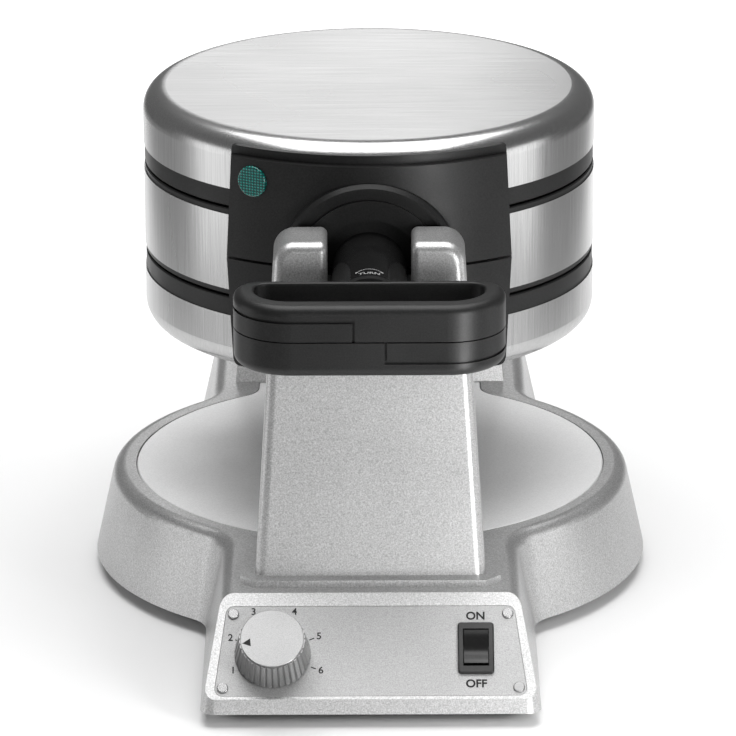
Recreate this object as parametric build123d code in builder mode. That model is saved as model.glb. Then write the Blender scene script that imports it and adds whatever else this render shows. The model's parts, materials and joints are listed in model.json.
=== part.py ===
from build123d import *
import os
from math import atan2, cos, hypot, radians, sin, tan

os.makedirs("parts", exist_ok=True)

# Rotating belgian waffle maker in millimetres: X right, Y back, Z up, floor at Z 0,
# the origin under the middle of the round base and of the cooking head

# Small fits and edges shared by the whole machine
EDGE = 0.5
TOUCH_GAP = 0.25
RUNNING_FIT = 0.06
HALF_TURN = 180

# Cooking head, heights counted from the axis that it turns on
AXIS_Z = 166.5
HEAD_RADIUS = 98.25
HEAD_HALF_HEIGHT = 52.5
HEAD_SHOULDER = 10.0
STEEL = 1.1
LID_STEEL_LOW = 28.2
LID_TRIM_LOW = 20.2
MID_TRIM_HIGH = 19.2
MID_RING_HIGH = 16.7
TRIM_SINK = 0.45
TRIM_RADIUS = HEAD_RADIUS - TRIM_SINK

# Waffle moulds
FLANGE = 2.0
FLANGE_WIDTH = 4.8
FLANGE_GAP = 1.15
FLANGE_RADIUS = HEAD_RADIUS - STEEL - FLANGE_GAP
MOULD_RADIUS = FLANGE_RADIUS - FLANGE_WIDTH
TRIM_GAP = 0.8
TRIM_INNER = MOULD_RADIUS + TRIM_GAP
MOULD_RIM = 3.6
MOULD_SLOPE = 6.5
MOULD_SKIN = 3.0
LID_FLOOR = 32.5
MID_FLOOR = 7.0
STUD_PITCH = 18.0
STUD_BASE = 9.5
STUD_HEIGHT = 10.0
STUD_TAPER = 11.0
STUD_MARGIN = 15.2
DIVIDER_HEIGHT = 7.0
DIVIDER_WIDTH = 3.4
ELEMENT_RADIUS = 3.2
ELEMENT_INSET = 29.2
ELEMENT_LOOP = MOULD_RADIUS - ELEMENT_INSET
ELEMENT_SWEEP = 325.0

# Front panels with the ringed hub and the lamp window
PANEL_CLEARANCE = 0.65
PANEL_THICK = 5.1
PANEL_STEP_THICK = 1.7
PANEL_INNER = HEAD_RADIUS + PANEL_CLEARANCE
PANEL_RADIUS = PANEL_INNER + PANEL_THICK
PANEL_HALF_MID = 60.3
PANEL_HALF_TOP = 57.8
PANEL_TOP = 49.0
PANEL_STEP = 4.0
PANEL_CORNER = 2.5
HALF_GAP = 0.6
HUB_RADIUS = 38.0
HUB_RISE = 2.5
HUB_FLANK = 1.6
HUB_GROOVE_OUT = 35.2
HUB_GROOVE_IN = 31.0
HUB_GROOVE_DEPTH = 1.8
HUB_RECESS = 22.7
HUB_FLOOR = 2.7
HUB_FACE_Y = -PANEL_RADIUS - HUB_RISE
RECESS_FACE_Y = -PANEL_INNER - HUB_FLOOR
LAMP_RADIUS = 6.75
LAMP_X = -49.0
LAMP_RISE = 35.5
LAMP_DOME = 1.0

# Yoke that carries the front of the head
YOKE_CLEARANCE = 3.5
YOKE_BACK_Y = HUB_FACE_Y - YOKE_CLEARANCE
YOKE_FOOT_DEPTH = 43.0
YOKE_TOP_DEPTH = 24.0
YOKE_TOP_RISE = 21.0
YOKE_FOOT_HALF = 48.5
YOKE_TOP_HALF = 39.4
YOKE_WALL = 4.0
YOKE_ROUND = 9.0
YOKE_INNER_ROUND = 3.0
YOKE_EDGE = 4.5
YOKE_FLANGE = 3.0
YOKE_FLANGE_REACH = 6.0
LINER_THICK = 1.44

# Handles: half a neck and half a loop each
NECK_RADIUS = 16.0
LOOP_STANDOFF = 52.0
LOOP_DEPTH = 38.0
LOOP_HALF_WIDTH = 55.5
LOOP_HALF_HEIGHT = 15.0
LOOP_BACK_BAR = 5.5
LOOP_SIDE_BAR = 8.5
LOOP_FRONT_BAR = 9.0
LOOP_FRONT_CORNER = 24.0
LOOP_BACK_CORNER = 12.0
LOOP_ROUND = 4.0
LOOP_INNER_ROUND = 1.0
GRIP_LINE = 8.0
GRIP_GROOVE = 1.0
GRIP_END = -6.0
LOOP_BACK_Y = YOKE_BACK_Y - LOOP_STANDOFF
LOOP_FRONT_Y = LOOP_BACK_Y - LOOP_DEPTH
JOURNAL_RADIUS = 7.0
JOURNAL_ROOM = 0.4
JOURNAL_LENGTH = 40.0

# Rear of the head
HINGE_GAP = 8.75
HINGE_Y = HEAD_RADIUS + HINGE_GAP
HINGE_RISE = 22.0
HINGE_PIN = 3.0
HINGE_KNUCKLE = 7.0
HINGE_BLOCK_ROUND = 8.0
HINGE_BLOCK_HALF = 24.0
HINGE_ARM_IN = 25.0
HINGE_ARM_OUT = 39.0
HINGE_ARM_TOP = 42.0
HINGE_BRIDGE_LOW = 35.0
PIN_PROUD = 1.0
AXLE_RADIUS = 11.0
AXLE_BORE = 7.0
COLLAR_WIDTH = 5.0
COLLAR_RADIUS = 17.0

# Rear column
REAR_CLEARANCE = 10.5
REAR_FACE_Y = HINGE_Y + REAR_CLEARANCE
REAR_TOE = 11.5
REAR_FOOT_Y = REAR_FACE_Y - REAR_TOE
REAR_TOP_DEPTH = 40.5
REAR_FOOT_DEPTH = 80.0
REAR_FOOT_HALF = 62.0
REAR_TOP_HALF = 46.0
REAR_TOP_RISE = 21.0
REAR_KNEE_Z = 98.0
REAR_WALL = 3.0
REAR_ROUND = 16.0
BUSH_OUTER = 15.0
BUSH_LENGTH = 9.0
COVER_HALF = 44.0
COVER_THICK = 1.5
COLLAR_Y = REAR_FACE_Y + BUSH_LENGTH - EDGE
AXLE_TAIL = 21.0
AXLE_END_Y = COLLAR_Y + COLLAR_WIDTH + AXLE_TAIL

# Base
BASE_RADIUS = 122.0
BASE_EDGE_Z = 6.0
DECK_Z = 45.0
BASE_TAPER = 12.5
BASE_WALL = 3.0
SHOULDER = 6.0
NECK_HALF_WIDTH = 70.5
NECK_LIP = 5.0
FACE_RUN = 36.0
FACE_CLIMB = 32.0
FACE_SETBACK = 14.0
REAR_FOOT_HALF_WIDTH = 80.0
NECK_BLEND = 16.0
FOOT_BLEND = 22.0
FLOOR_INSET = 9.0
FLOOR_BOTTOM = 2.0
LIP_INSET = 14.0
LIP_TOP = 8.0
CAVITY_TOP = 36.0
PAD_RADIUS = 9.0
PAD_HEIGHT = 3.0
SCREW_SHANK = 1.8
SCREW_HEAD = 3.6
SCREW_SEAT = 4.0
GLAND_RADIUS = 6.5
GLAND_Z = 20.0
GLAND_LENGTH = 6.0
FACE_TOP_Y = YOKE_BACK_Y - YOKE_FOOT_DEPTH - FACE_SETBACK
FACE_FOOT_Z = BASE_EDGE_Z + NECK_LIP
NECK_FRONT_Y = FACE_TOP_Y - FACE_RUN
KNOB_OVERHANG = 2.6
REAR_BACK_Y = KNOB_OVERHANG - NECK_FRONT_Y

# Drip tray sunk in the deck
TRAY_MARGIN = 5.35
TRAY_RADIUS = HEAD_RADIUS + TRAY_MARGIN
TRAY_DEPTH = 5.0
TRAY_GAP = 0.4
TRAY_SKIN = 1.5
TRAY_WALL = 3.0
TONGUE_HALF_WIDTH = 51.0
TONGUE_GAP = 1.5
TONGUE_BACK_Y = REAR_FOOT_Y - TONGUE_GAP
TONGUE_BLEND = 14.0

# Controls, placed on the sloped face from its middle
FASCIA_THICK = 1.2
FASCIA_TOP_HALF = 59.8
FASCIA_FOOT_HALF = 65.0
FASCIA_HALF_RISE = 20.9
FASCIA_CORNER = 3.6
DOME_RADIUS = 2.4
DOME_RISE = 0.75
DOME_INSET = 3.3
KNOB_X = -40.6
KNOB_V = -1.5
KNOB_RADIUS = 13.6
KNOB_SKIRT = 15.8
KNOB_HEIGHT = 15.0
KNOB_LIFT = 0.8
KNOB_CAP = 1.0
KNOB_FLUTES = 36
FLUTE_SIZE = 0.55
KNOB_ROOM = 9.5
KNOB_ROOM_TOP = 9.0
SHAFT_RADIUS = 3.0
SHAFT_HOLE = 5.2
POT_RADIUS = 12.0
POT_DEPTH = 10.0
POT_BUSH_RISE = 3.0
SWITCH_X = 43.6
SWITCH_V = 0.8
SWITCH_WIDTH = 15.0
SWITCH_RISE = 23.5
SWITCH_BOX = 12.0
BEZEL_RIM = 1.0
BEZEL_RISE = 1.6
BEZEL_CORNER = 1.5
ROCKER_WIDTH = 10.0
ROCKER_RISE = 16.5
ROCKER_GAP = 0.35
ROCKER_TILT = 7.0
ROCKER_PIN = 1.5
ROCKER_CROWN = 1.9

# Planes and axes that the sizes above fix
face_angle = atan2(FACE_CLIMB, FACE_RUN)
face_length = hypot(FACE_RUN, FACE_CLIMB)
face_middle = (0, NECK_FRONT_Y + FACE_RUN / 2, FACE_FOOT_Z + FACE_CLIMB / 2)
face = Plane(
    origin=face_middle,
    x_dir=(1, 0, 0),
    z_dir=(0, -sin(face_angle), cos(face_angle)),
)
face_axis = Axis(face_middle, face.z_dir)
head = Plane.XY.offset(AXIS_Z)
turn_axis = Axis((0, 0, AXIS_Z), (0, 1, 0))
front_view = Plane(origin=(0, 0, 0), x_dir=(1, 0, 0), z_dir=(0, -1, 0))
side_view = Plane(origin=(-BASE_RADIUS, 0, 0), x_dir=(0, 1, 0), z_dir=(1, 0, 0))
hinge_view = Plane(origin=(0, HINGE_Y, AXIS_Z), x_dir=(0, 1, 0), z_dir=(1, 0, 0))
yoke_top_z = AXIS_Z + YOKE_TOP_RISE
yoke_foot_y = YOKE_BACK_Y - YOKE_FOOT_DEPTH
yoke_slot = NECK_RADIUS + RUNNING_FIT + LINER_THICK


def facing_front(y=0.0):
    """Upright plane through the head's axis that looks to the front."""
    return Plane(origin=(0, y, AXIS_Z), x_dir=(1, 0, 0), z_dir=(0, -1, 0))


def facing_back(y):
    return Plane(origin=(0, y, AXIS_Z), x_dir=(1, 0, 0), z_dir=(0, 1, 0))


def save(builder, name):
    builder.part.label = name
    export_step(builder.part, f"parts/{name}.step")


def save_turned(builder, name):
    """The same piece turned half round the head's axis."""
    with BuildPart() as turned:
        add(builder.part.rotate(turn_axis, HALF_TURN))
    save(turned, name)


def save_pair(builder, name):
    """The two lids are one form, so the lower one is the upper one turned over."""
    save(builder, f"upper_{name}")
    save_turned(builder, f"lower_{name}")


def on_circle(radius):
    """Selects the corners of a plan that lie on a circle round its middle."""
    return lambda v: abs(hypot(v.X, v.Y) - radius) < TOUCH_GAP


def base_outline(inset=0.0, bottom=BASE_EDGE_Z):
    """Plan of the base at its lower edge: round deck, control neck and rear foot."""
    radius = BASE_RADIUS - inset
    front = NECK_FRONT_Y + inset
    rear = REAR_BACK_Y - inset
    with BuildSketch(Plane.XY.offset(bottom)) as plan:
        Circle(radius)
        with Locations((0, front / 2)):
            Rectangle(2 * (NECK_HALF_WIDTH - inset), -front)
        with Locations((0, rear / 2)):
            Rectangle(2 * (REAR_FOOT_HALF_WIDTH - inset), rear)
        fillet(plan.vertices().filter_by(on_circle(radius)), NECK_BLEND + inset)
        fillet(plan.vertices().group_by(Axis.Y)[-1], FOOT_BLEND)
        fillet(plan.vertices().group_by(Axis.Y)[0], SHOULDER)
    return plan.sketch


def tray_outline(growth=0.0):
    radius = TRAY_RADIUS + growth
    back = TONGUE_BACK_Y + growth
    with BuildSketch(Plane.XY.offset(DECK_Z - TRAY_DEPTH)) as plan:
        Circle(radius)
        with Locations((0, back / 2)):
            Rectangle(2 * (TONGUE_HALF_WIDTH + growth), back)
        fillet(plan.vertices().filter_by(on_circle(radius)), TONGUE_BLEND)
    return plan.sketch


def above_face(height=0.0):
    """Everything over the sloped control face, used to cut the neck to its slope."""
    reach = 4 * face_length
    with BuildSketch(face.offset(height)) as cut:
        with Locations((0, reach / 2 - face_length)):
            Rectangle(4 * NECK_HALF_WIDTH, reach)
    return cut.sketch


def ring_section(*corners):
    """Closed outline in the half plane through the head's upright middle line."""
    with BuildSketch(facing_front()) as section:
        with BuildLine():
            Polyline(*corners, close=True)
        make_face()
    return section.sketch


def mirrored(x, y):
    return [(-x, y), (x, y)]


# Base housing: a tapered shell with a sloped control face and a well for the tray
pad_spots = (
    mirrored(NECK_HALF_WIDTH - 2 * PAD_RADIUS, NECK_FRONT_Y + 3 * PAD_RADIUS)
    + mirrored(BASE_RADIUS - 4 * PAD_RADIUS, 4 * PAD_RADIUS)
    + mirrored(REAR_FOOT_HALF_WIDTH - 3 * PAD_RADIUS, REAR_BACK_Y - 4 * PAD_RADIUS)
)
lip_middle = (LIP_INSET + FLOOR_INSET) / 2
screw_spots = (
    mirrored(NECK_HALF_WIDTH - lip_middle, yoke_foot_y + TRAY_WALL)
    + mirrored(REAR_FOOT_HALF_WIDTH - lip_middle, REAR_FACE_Y + 2 * NECK_BLEND)
)
with BuildPart() as cavity:
    extrude(base_outline(BASE_WALL, LIP_TOP), amount=CAVITY_TOP - LIP_TOP, taper=BASE_TAPER)
    extrude(above_face(-BASE_WALL - FASCIA_THICK), amount=BASE_RADIUS, mode=Mode.SUBTRACT)
    extrude(base_outline(LIP_INSET, BASE_EDGE_Z), amount=2 * (LIP_TOP - BASE_EDGE_Z))

with BuildSketch(face.offset(-FASCIA_THICK)) as fascia_outline:
    with BuildLine():
        Polyline(
            (-FASCIA_TOP_HALF, FASCIA_HALF_RISE), (FASCIA_TOP_HALF, FASCIA_HALF_RISE),
            (FASCIA_FOOT_HALF, -FASCIA_HALF_RISE), (-FASCIA_FOOT_HALF, -FASCIA_HALF_RISE),
            close=True,
        )
    make_face()
    fillet(fascia_outline.vertices(), FASCIA_CORNER)

with BuildSketch(face.offset(-BASE_WALL - 2 * FASCIA_THICK)) as face_holes:
    with Locations((KNOB_X, KNOB_V)):
        Circle(SHAFT_HOLE)
    with Locations((SWITCH_X, SWITCH_V)):
        Rectangle(SWITCH_WIDTH - 2 * BEZEL_RIM, SWITCH_RISE - 2 * BEZEL_RIM)

with BuildPart() as base_housing:
    extrude(base_outline(), amount=DECK_Z - BASE_EDGE_Z, taper=BASE_TAPER)
    fillet(base_housing.faces().sort_by(Axis.Z)[-1].edges(), SHOULDER)
    extrude(above_face(), amount=BASE_RADIUS, mode=Mode.SUBTRACT)
    add(cavity.part, mode=Mode.SUBTRACT)
    extrude(tray_outline(TRAY_GAP), amount=2 * TRAY_DEPTH, mode=Mode.SUBTRACT)
    extrude(fascia_outline.sketch, amount=2 * FASCIA_THICK, mode=Mode.SUBTRACT)
    extrude(face_holes.sketch, amount=2 * BASE_WALL + FASCIA_THICK, mode=Mode.SUBTRACT)
    with BuildSketch(Plane(origin=(0, REAR_BACK_Y, GLAND_Z), z_dir=(0, 1, 0))):
        Circle(GLAND_RADIUS)
    extrude(amount=-3 * GLAND_LENGTH, mode=Mode.SUBTRACT)
    with BuildSketch(Plane.XY.offset(BASE_EDGE_Z)):
        with Locations(*screw_spots):
            Circle(SCREW_SHANK)
    extrude(amount=LIP_TOP - BASE_EDGE_Z, mode=Mode.SUBTRACT)
save(base_housing, "base_housing")

# Floor of the base with its rubber feet and screws
with BuildPart() as base_plate:
    extrude(base_outline(FLOOR_INSET, FLOOR_BOTTOM), amount=BASE_EDGE_Z - FLOOR_BOTTOM)
    with BuildSketch(Plane.XY.offset(FLOOR_BOTTOM)):
        with Locations(*pad_spots):
            Circle(PAD_RADIUS)
    extrude(amount=PAD_HEIGHT - FLOOR_BOTTOM, mode=Mode.SUBTRACT)
    with Locations(*[(x, y, FLOOR_BOTTOM) for x, y in screw_spots]):
        with Locations(Rotation(HALF_TURN, 0, 0)):
            CounterBoreHole(SCREW_SHANK, SCREW_HEAD, SCREW_SEAT - FLOOR_BOTTOM,
                            BASE_EDGE_Z - FLOOR_BOTTOM)
save(base_plate, "base_plate")

with BuildPart() as rubber_feet:
    with BuildSketch():
        with Locations(*pad_spots):
            Circle(PAD_RADIUS)
    extrude(amount=PAD_HEIGHT)
    chamfer(rubber_feet.faces().group_by(Axis.Z)[0].edges(), EDGE)
save(rubber_feet, "rubber_feet")

with BuildPart() as base_screws:
    with BuildSketch(Plane.XY.offset(SCREW_SEAT)):
        with Locations(*screw_spots):
            Circle(SCREW_SHANK)
    extrude(amount=LIP_TOP - SCREW_SEAT)
    with BuildSketch(Plane.XY.offset(FLOOR_BOTTOM + TOUCH_GAP)):
        with Locations(*screw_spots):
            Circle(SCREW_HEAD)
    extrude(amount=SCREW_SEAT - FLOOR_BOTTOM - TOUCH_GAP)
save(base_screws, "base_screws")

gland_y = REAR_BACK_Y - (GLAND_Z - BASE_EDGE_Z) * tan(radians(BASE_TAPER))
with BuildPart() as cord_gland:
    with BuildSketch(Plane(origin=(0, gland_y, GLAND_Z), z_dir=(0, -1, 0))):
        Circle(GLAND_RADIUS)
        Circle(GLAND_RADIUS / 2, mode=Mode.SUBTRACT)
    extrude(amount=GLAND_LENGTH)
save(cord_gland, "cord_gland")

# Lift-out drip tray: a shallow pan turned over, flush with the deck
with BuildPart() as drip_tray:
    extrude(tray_outline(), amount=TRAY_DEPTH)
    chamfer(drip_tray.faces().sort_by(Axis.Z)[-1].edges(), EDGE)
    extrude(tray_outline(-TRAY_WALL), amount=TRAY_DEPTH - TRAY_SKIN, mode=Mode.SUBTRACT)
save(drip_tray, "drip_tray")

# Control fascia with its four screws
with BuildPart() as control_panel:
    extrude(fascia_outline.sketch, amount=FASCIA_THICK)
    chamfer(control_panel.faces().sort_by(face_axis)[-1].edges(), TOUCH_GAP)
    extrude(face_holes.sketch, amount=2 * BASE_WALL + FASCIA_THICK, mode=Mode.SUBTRACT)
save(control_panel, "control_panel")

dome_rise = FASCIA_HALF_RISE - DOME_INSET - EDGE
with BuildPart() as panel_screws:
    with BuildSketch(face):
        with Locations(
            *mirrored(FASCIA_TOP_HALF - DOME_INSET + EDGE, dome_rise),
            *mirrored(FASCIA_FOOT_HALF - DOME_INSET - EDGE, -dome_rise),
        ):
            Circle(DOME_RADIUS)
    extrude(amount=DOME_RISE)
    fillet(panel_screws.faces().group_by(face_axis)[-1].edges(), DOME_RISE - TOUCH_GAP)
save(panel_screws, "panel_screws")

# Browning control: pot with threaded bush behind the face, spindle, knob and cap
pot_seat = -BASE_WALL - FASCIA_THICK
spindle_top = KNOB_HEIGHT - 2 * KNOB_CAP


def knob_circle(height, radius):
    with BuildSketch(face.offset(height)) as disc:
        with Locations((KNOB_X, KNOB_V)):
            Circle(radius)
    return disc.sketch


def fluted_circle(height, radius):
    with BuildSketch(face.offset(height)) as disc:
        with Locations((KNOB_X, KNOB_V)):
            Circle(radius)
            with PolarLocations(radius, KNOB_FLUTES):
                RegularPolygon(FLUTE_SIZE, 4, mode=Mode.SUBTRACT)
    return disc.sketch


with BuildPart() as browning_control:
    extrude(knob_circle(pot_seat, POT_RADIUS), amount=-POT_DEPTH)
    extrude(knob_circle(pot_seat, SHAFT_HOLE), amount=POT_BUSH_RISE - pot_seat)
    extrude(knob_circle(pot_seat - POT_DEPTH / 2, SHAFT_RADIUS + RUNNING_FIT),
            amount=POT_DEPTH - pot_seat, mode=Mode.SUBTRACT)
save(browning_control, "browning_control")

with BuildPart() as control_spindle:
    extrude(knob_circle(pot_seat, SHAFT_RADIUS), amount=spindle_top - pot_seat)
save(control_spindle, "control_spindle")

with BuildPart() as browning_knob:
    loft([fluted_circle(KNOB_LIFT, KNOB_SKIRT), fluted_circle(KNOB_HEIGHT - KNOB_CAP, KNOB_RADIUS)],
         ruled=True)
    extrude(knob_circle(KNOB_LIFT, KNOB_ROOM), amount=KNOB_ROOM_TOP - KNOB_LIFT,
            mode=Mode.SUBTRACT)
    extrude(knob_circle(KNOB_LIFT, SHAFT_RADIUS), amount=spindle_top - KNOB_LIFT,
            mode=Mode.SUBTRACT)
save(browning_knob, "browning_knob")

with BuildPart() as knob_cap:
    extrude(knob_circle(KNOB_HEIGHT - KNOB_CAP, KNOB_RADIUS - EDGE), amount=KNOB_CAP)
    chamfer(knob_cap.faces().sort_by(face_axis)[-1].edges(), TOUCH_GAP)
save(knob_cap, "knob_cap")

# Rocker switch: bezel and box in the face, rocker on its own pin
with BuildPart() as switch_frame:
    with BuildSketch(face):
        with Locations((SWITCH_X, SWITCH_V)):
            RectangleRounded(SWITCH_WIDTH, SWITCH_RISE, BEZEL_CORNER)
    extrude(amount=BEZEL_RISE)
    chamfer(switch_frame.faces().sort_by(face_axis)[-1].edges(), EDGE)
    with BuildSketch(face):
        with Locations((SWITCH_X, SWITCH_V)):
            Rectangle(SWITCH_WIDTH - 2 * BEZEL_RIM, SWITCH_RISE - 2 * BEZEL_RIM)
    extrude(amount=-SWITCH_BOX)
    with BuildSketch(face.offset(BEZEL_RISE)):
        with Locations((SWITCH_X, SWITCH_V)):
            Rectangle(ROCKER_WIDTH + 2 * ROCKER_GAP, ROCKER_RISE + 2 * ROCKER_GAP)
    extrude(amount=-SWITCH_BOX / 2 - BEZEL_RISE, mode=Mode.SUBTRACT)
    pin_side = Plane(
        origin=face.from_local_coords((SWITCH_X - ROCKER_WIDTH / 2 - 1, SWITCH_V, -FASCIA_THICK)),
        x_dir=face.y_dir,
        z_dir=(1, 0, 0),
    )
    with BuildSketch(pin_side):
        Circle(ROCKER_PIN + RUNNING_FIT)
    extrude(amount=ROCKER_WIDTH + 2, mode=Mode.SUBTRACT)
save(switch_frame, "switch_frame")

rocker_angle = face_angle + radians(ROCKER_TILT)
rocker_side = Plane(
    origin=face.from_local_coords((SWITCH_X - ROCKER_WIDTH / 2, SWITCH_V, -FASCIA_THICK)),
    x_dir=(0, cos(rocker_angle), sin(rocker_angle)),
    z_dir=(1, 0, 0),
)
rocker_half = ROCKER_RISE / 2 - 2 * EDGE
rocker_mid = FASCIA_THICK + BEZEL_RISE
rocker_tip = rocker_mid + ROCKER_CROWN
pin_reach = 2 * ROCKER_GAP
with BuildPart() as switch_rocker:
    with BuildSketch(rocker_side):
        with BuildLine():
            Polyline(
                (-rocker_half, rocker_tip), (EDGE - rocker_half, -ROCKER_CROWN),
                (rocker_half - EDGE, -ROCKER_CROWN), (rocker_half, rocker_tip),
            )
            ThreePointArc((rocker_half, rocker_tip), (0, rocker_mid), (-rocker_half, rocker_tip))
        make_face()
    extrude(amount=ROCKER_WIDTH)
    with BuildSketch(rocker_side.offset(-pin_reach)):
        Circle(ROCKER_PIN)
    extrude(amount=ROCKER_WIDTH + 2 * pin_reach)
save(switch_rocker, "switch_rocker")


# Front yoke: a hollow column with a round cradle and its liner
def column_front(foot_half, top_half, foot_z, top_z, rounding):
    """Front outline of a column that narrows upward, with rounded top corners."""
    with BuildSketch(front_view) as view:
        with BuildLine():
            Polyline(
                (-foot_half, foot_z), (foot_half, foot_z), (top_half, top_z), (-top_half, top_z),
                close=True,
            )
        make_face()
        if rounding:
            fillet(view.vertices().group_by(Axis.Y)[-1], rounding)
    return view.sketch


def column_side(*corners):
    with BuildSketch(side_view) as view:
        with BuildLine():
            Polyline(*corners, close=True)
        make_face()
    return view.sketch


yoke_height = yoke_top_z - DECK_Z
yoke_lean = (YOKE_FOOT_DEPTH - YOKE_TOP_DEPTH) / yoke_height
yoke_close = (YOKE_FOOT_HALF - YOKE_TOP_HALF) / yoke_height
hollow_rise = AXIS_Z - yoke_slot - 2 * YOKE_WALL - DECK_Z
hollow_front = yoke_foot_y + YOKE_WALL
with BuildPart() as yoke_hollow:
    extrude(
        column_front(YOKE_FOOT_HALF - YOKE_WALL, YOKE_FOOT_HALF - YOKE_WALL - hollow_rise * yoke_close,
                     DECK_Z, DECK_Z + hollow_rise, 0),
        amount=-2 * yoke_foot_y,
    )
    extrude(
        column_side(
            (hollow_front, DECK_Z), (YOKE_BACK_Y - YOKE_WALL, DECK_Z),
            (YOKE_BACK_Y - YOKE_WALL, DECK_Z + hollow_rise),
            (hollow_front + hollow_rise * yoke_lean, DECK_Z + hollow_rise),
        ),
        amount=2 * BASE_RADIUS, mode=Mode.INTERSECT,
    )

with BuildPart() as front_column:
    extrude(column_front(YOKE_FOOT_HALF, YOKE_TOP_HALF, DECK_Z, yoke_top_z, YOKE_ROUND),
            amount=-2 * yoke_foot_y)
    extrude(
        column_side(
            (yoke_foot_y, DECK_Z), (YOKE_BACK_Y, DECK_Z), (YOKE_BACK_Y, yoke_top_z),
            (YOKE_BACK_Y - YOKE_TOP_DEPTH, yoke_top_z),
        ),
        amount=2 * BASE_RADIUS, mode=Mode.INTERSECT,
    )
    front_edges = front_column.faces().sort_by(Axis.Y)[0].edges()
    fillet(front_edges.filter_by(lambda e: e.center().Z > DECK_Z + EDGE), YOKE_EDGE)
    with BuildSketch(facing_front()) as slot:
        Circle(yoke_slot)
        with Locations((0, yoke_slot)):
            Rectangle(2 * yoke_slot, 2 * yoke_slot)
    extrude(amount=-2 * yoke_foot_y, mode=Mode.SUBTRACT)
    rims = front_column.edges().filter_by(Axis.Y).filter_by(
        lambda e: e.center().Z > yoke_top_z - EDGE and abs(e.center().X) < yoke_slot + EDGE
    )
    fillet(rims, YOKE_INNER_ROUND)
    with BuildSketch(Plane.XY.offset(DECK_Z)) as flange_plan:
        flange_front = yoke_foot_y - YOKE_FLANGE_REACH + EDGE
        with Locations((0, (YOKE_BACK_Y + flange_front) / 2)):
            Rectangle(2 * (YOKE_FOOT_HALF + YOKE_FLANGE_REACH), YOKE_BACK_Y - flange_front)
        chamfer(flange_plan.vertices().group_by(Axis.Y)[0], YOKE_FLANGE_REACH)
    extrude(amount=YOKE_FLANGE)
    add(yoke_hollow.part, mode=Mode.SUBTRACT)
save(front_column, "front_column")

cradle_depth = YOKE_FOOT_DEPTH - (AXIS_Z - DECK_Z) * yoke_lean
with BuildPart() as cradle_liner:
    with BuildSketch(facing_front(YOKE_BACK_Y)):
        Circle(yoke_slot)
        Circle(NECK_RADIUS + RUNNING_FIT, mode=Mode.SUBTRACT)
        with Locations((0, yoke_slot)):
            Rectangle(4 * yoke_slot, 2 * yoke_slot, mode=Mode.SUBTRACT)
    extrude(amount=cradle_depth)
save(cradle_liner, "cradle_liner")


# Middle of the cooking head: steel ring, trims, moulds, frame and heating element
def drill_axis(front_radius):
    """Holes on the turning axis for the front journal and the rear axle."""
    with BuildSketch(facing_front()) as front_hole:
        Circle(front_radius)
    extrude(front_hole.sketch, amount=2 * HEAD_RADIUS, mode=Mode.SUBTRACT)
    with BuildSketch(facing_front()) as rear_hole:
        Circle(AXLE_RADIUS)
    extrude(rear_hole.sketch, amount=-2 * HEAD_RADIUS, mode=Mode.SUBTRACT)


def stud_spots():
    field = MOULD_RADIUS - STUD_MARGIN
    count = int(field / STUD_PITCH) + 1
    steps = [(i + 0.5) * STUD_PITCH for i in range(-count, count)]
    return [(x, y) for x in steps for y in steps if hypot(x, y) < field]


def add_studs(floor_plane):
    """Pyramid studs and the two ribs that divide the waffle in quarters."""
    with BuildSketch(floor_plane) as studs:
        with Locations(*stud_spots()):
            Rectangle(STUD_BASE, STUD_BASE)
    extrude(studs.sketch, amount=STUD_HEIGHT, taper=STUD_TAPER)
    with BuildSketch(floor_plane) as dividers:
        length = 2 * (MOULD_RADIUS - STUD_MARGIN)
        Rectangle(length, DIVIDER_WIDTH)
        Rectangle(DIVIDER_WIDTH, length)
    extrude(dividers.sketch, amount=DIVIDER_HEIGHT)


with BuildPart() as head_ring:
    revolve(ring_section(
        (HEAD_RADIUS - STEEL, -MID_RING_HIGH), (HEAD_RADIUS, -MID_RING_HIGH),
        (HEAD_RADIUS, MID_RING_HIGH), (HEAD_RADIUS - STEEL, MID_RING_HIGH),
    ), axis=Axis.Z)
    drill_axis(JOURNAL_RADIUS + EDGE)
save(head_ring, "head_ring")

with BuildPart() as center_trim:
    revolve(ring_section(
        (MOULD_RADIUS, MID_RING_HIGH), (TRIM_RADIUS, MID_RING_HIGH),
        (TRIM_RADIUS, MID_TRIM_HIGH - EDGE), (TRIM_RADIUS - EDGE, MID_TRIM_HIGH),
        (MOULD_RADIUS, MID_TRIM_HIGH),
    ), axis=Axis.Z)
save(center_trim, "center_trim_upper")
save_turned(center_trim, "center_trim_lower")

flange_low = MID_RING_HIGH - FLANGE
mid_back = MID_FLOOR - MOULD_SKIN
rim_radius = MOULD_RADIUS - MOULD_RIM
with BuildPart() as center_plate:
    revolve(ring_section(
        (0, MID_FLOOR), (rim_radius - MOULD_SLOPE, MID_FLOOR),
        (rim_radius, MID_TRIM_HIGH), (MOULD_RADIUS, MID_TRIM_HIGH),
        (MOULD_RADIUS, MID_RING_HIGH), (FLANGE_RADIUS, MID_RING_HIGH),
        (FLANGE_RADIUS, flange_low), (MOULD_RADIUS, flange_low),
        (MOULD_RADIUS - MOULD_SKIN, mid_back), (0, mid_back),
    ), axis=Axis.Z)
    add_studs(head.offset(MID_FLOOR))
save(center_plate, "center_plate_upper")
save_turned(center_plate, "center_plate_lower")

frame_inner = MOULD_RADIUS + 1
with BuildPart() as center_frame:
    revolve(ring_section(
        (frame_inner, -flange_low), (FLANGE_RADIUS, -flange_low),
        (FLANGE_RADIUS, flange_low), (frame_inner, flange_low),
    ), axis=Axis.Z)
    drill_axis(JOURNAL_RADIUS)
save(center_frame, "center_frame")

with BuildPart() as center_element:
    with BuildSketch(facing_front()):
        with Locations((ELEMENT_LOOP, 0)):
            Circle(mid_back)
    revolve(axis=Axis.Z, revolution_arc=ELEMENT_SWEEP)
save(center_element, "center_element")

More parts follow.
